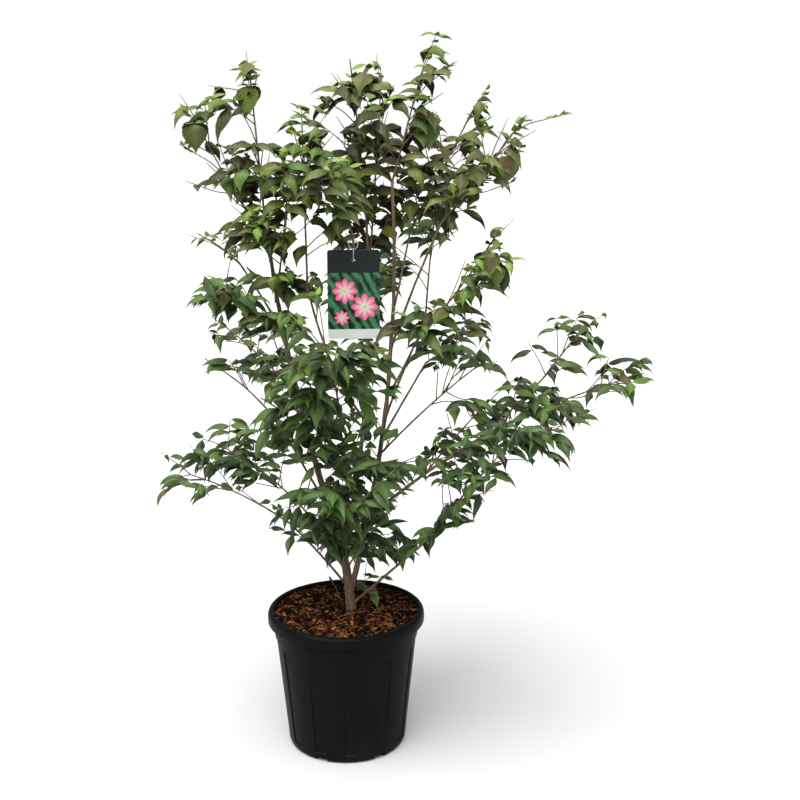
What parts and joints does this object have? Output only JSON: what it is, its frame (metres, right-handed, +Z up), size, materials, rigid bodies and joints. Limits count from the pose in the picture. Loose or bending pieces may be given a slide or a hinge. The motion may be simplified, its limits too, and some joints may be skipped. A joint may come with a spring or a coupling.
{
  "type": "potted shrub",
  "caption": "Potted kousa dogwood: open multi-stemmed young shrub with drooping pointed leaves in a black nursery container, with a plain picture label on a ring.",
  "frame": {"origin": "middle of the flat underside of the pot", "axes": "+Z up along the pot's axis; -Y is the front, where the label faces; +X is the side of the long low bough"},
  "size_m": [0.8808, 0.6967, 1.2503],
  "materials": {
    "pot_plastic": "satin black moulded plastic",
    "soil_bark": "rough, bark and coir chips",
    "trunk_bark": "rough grey-brown bark",
    "bough_bark": "thin reddish-brown bark",
    "leaf_low": "semi-matte dark green leaf",
    "leaf_mid": "semi-matte mid green leaf",
    "leaf_top": "semi-matte green leaf with bronze tint",
    "label_card": "printed plastic card, satin",
    "label_tie": "white plastic"
  },
  "bodies": {
    "root": {"bough_back": "bough_bark", "bough_back_left": "bough_bark", "bough_back_right": "bough_bark", "bough_centre_thin": "bough_bark", "bough_front": "bough_bark", "bough_left_second": "bough_bark", "bough_left_third": "bough_bark", "bough_left_upper": "bough_bark", "bough_low_left": "bough_bark", "bough_low_right": "bough_bark", "bough_right_fork": "bough_bark", "bough_right_low": "bough_bark", "bough_right_low_front": "bough_bark", "bough_right_low_up": "bough_bark", "bough_right_mid": "bough_bark", "bough_right_mid_back": "bough_bark", "bough_right_upper": "bough_bark", "bough_tag": "bough_bark", "leaves_back": "leaf_mid", "leaves_back_left": "leaf_mid", "leaves_back_right": "leaf_mid", "leaves_centre_back": "leaf_top", "leaves_centre_front": "leaf_top", "leaves_centre_thin": "leaf_top", "leaves_centre_top": "leaf_top", "leaves_front": "leaf_mid", "leaves_front_left": "leaf_mid", "leaves_front_right": "leaf_low", "leaves_left_fifth": "leaf_mid", "leaves_left_fourth": "leaf_mid", "leaves_left_inner": "leaf_top", "leaves_left_outer": "leaf_top", "leaves_left_second": "leaf_low", "leaves_left_third": "leaf_mid", "leaves_left_top": "leaf_top", "leaves_left_upper": "leaf_top", "leaves_low_back": "leaf_low", "leaves_low_front": "leaf_low", "leaves_low_front_left": "leaf_low", "leaves_low_left": "leaf_low", "leaves_low_right": "leaf_low", "leaves_right_fork": "leaf_top", "leaves_right_low_back": "leaf_low", "leaves_right_low_front": "leaf_low", "leaves_right_low_up": "leaf_mid", "leaves_right_mid": "leaf_top", "leaves_right_mid_back": "leaf_mid", "leaves_right_mid_low": "leaf_mid", "leaves_right_tip": "leaf_mid", "leaves_right_upper": "leaf_top", "leaves_top_right": "leaf_top", "pot": "pot_plastic", "soil": "soil_bark", "stem_centre": "trunk_bark", "stem_left": "trunk_bark", "stem_right": "trunk_bark", "tag_card": "label_card", "tag_tie": "label_tie", "trunk": "trunk_bark"}
  },
  "joints": []
}
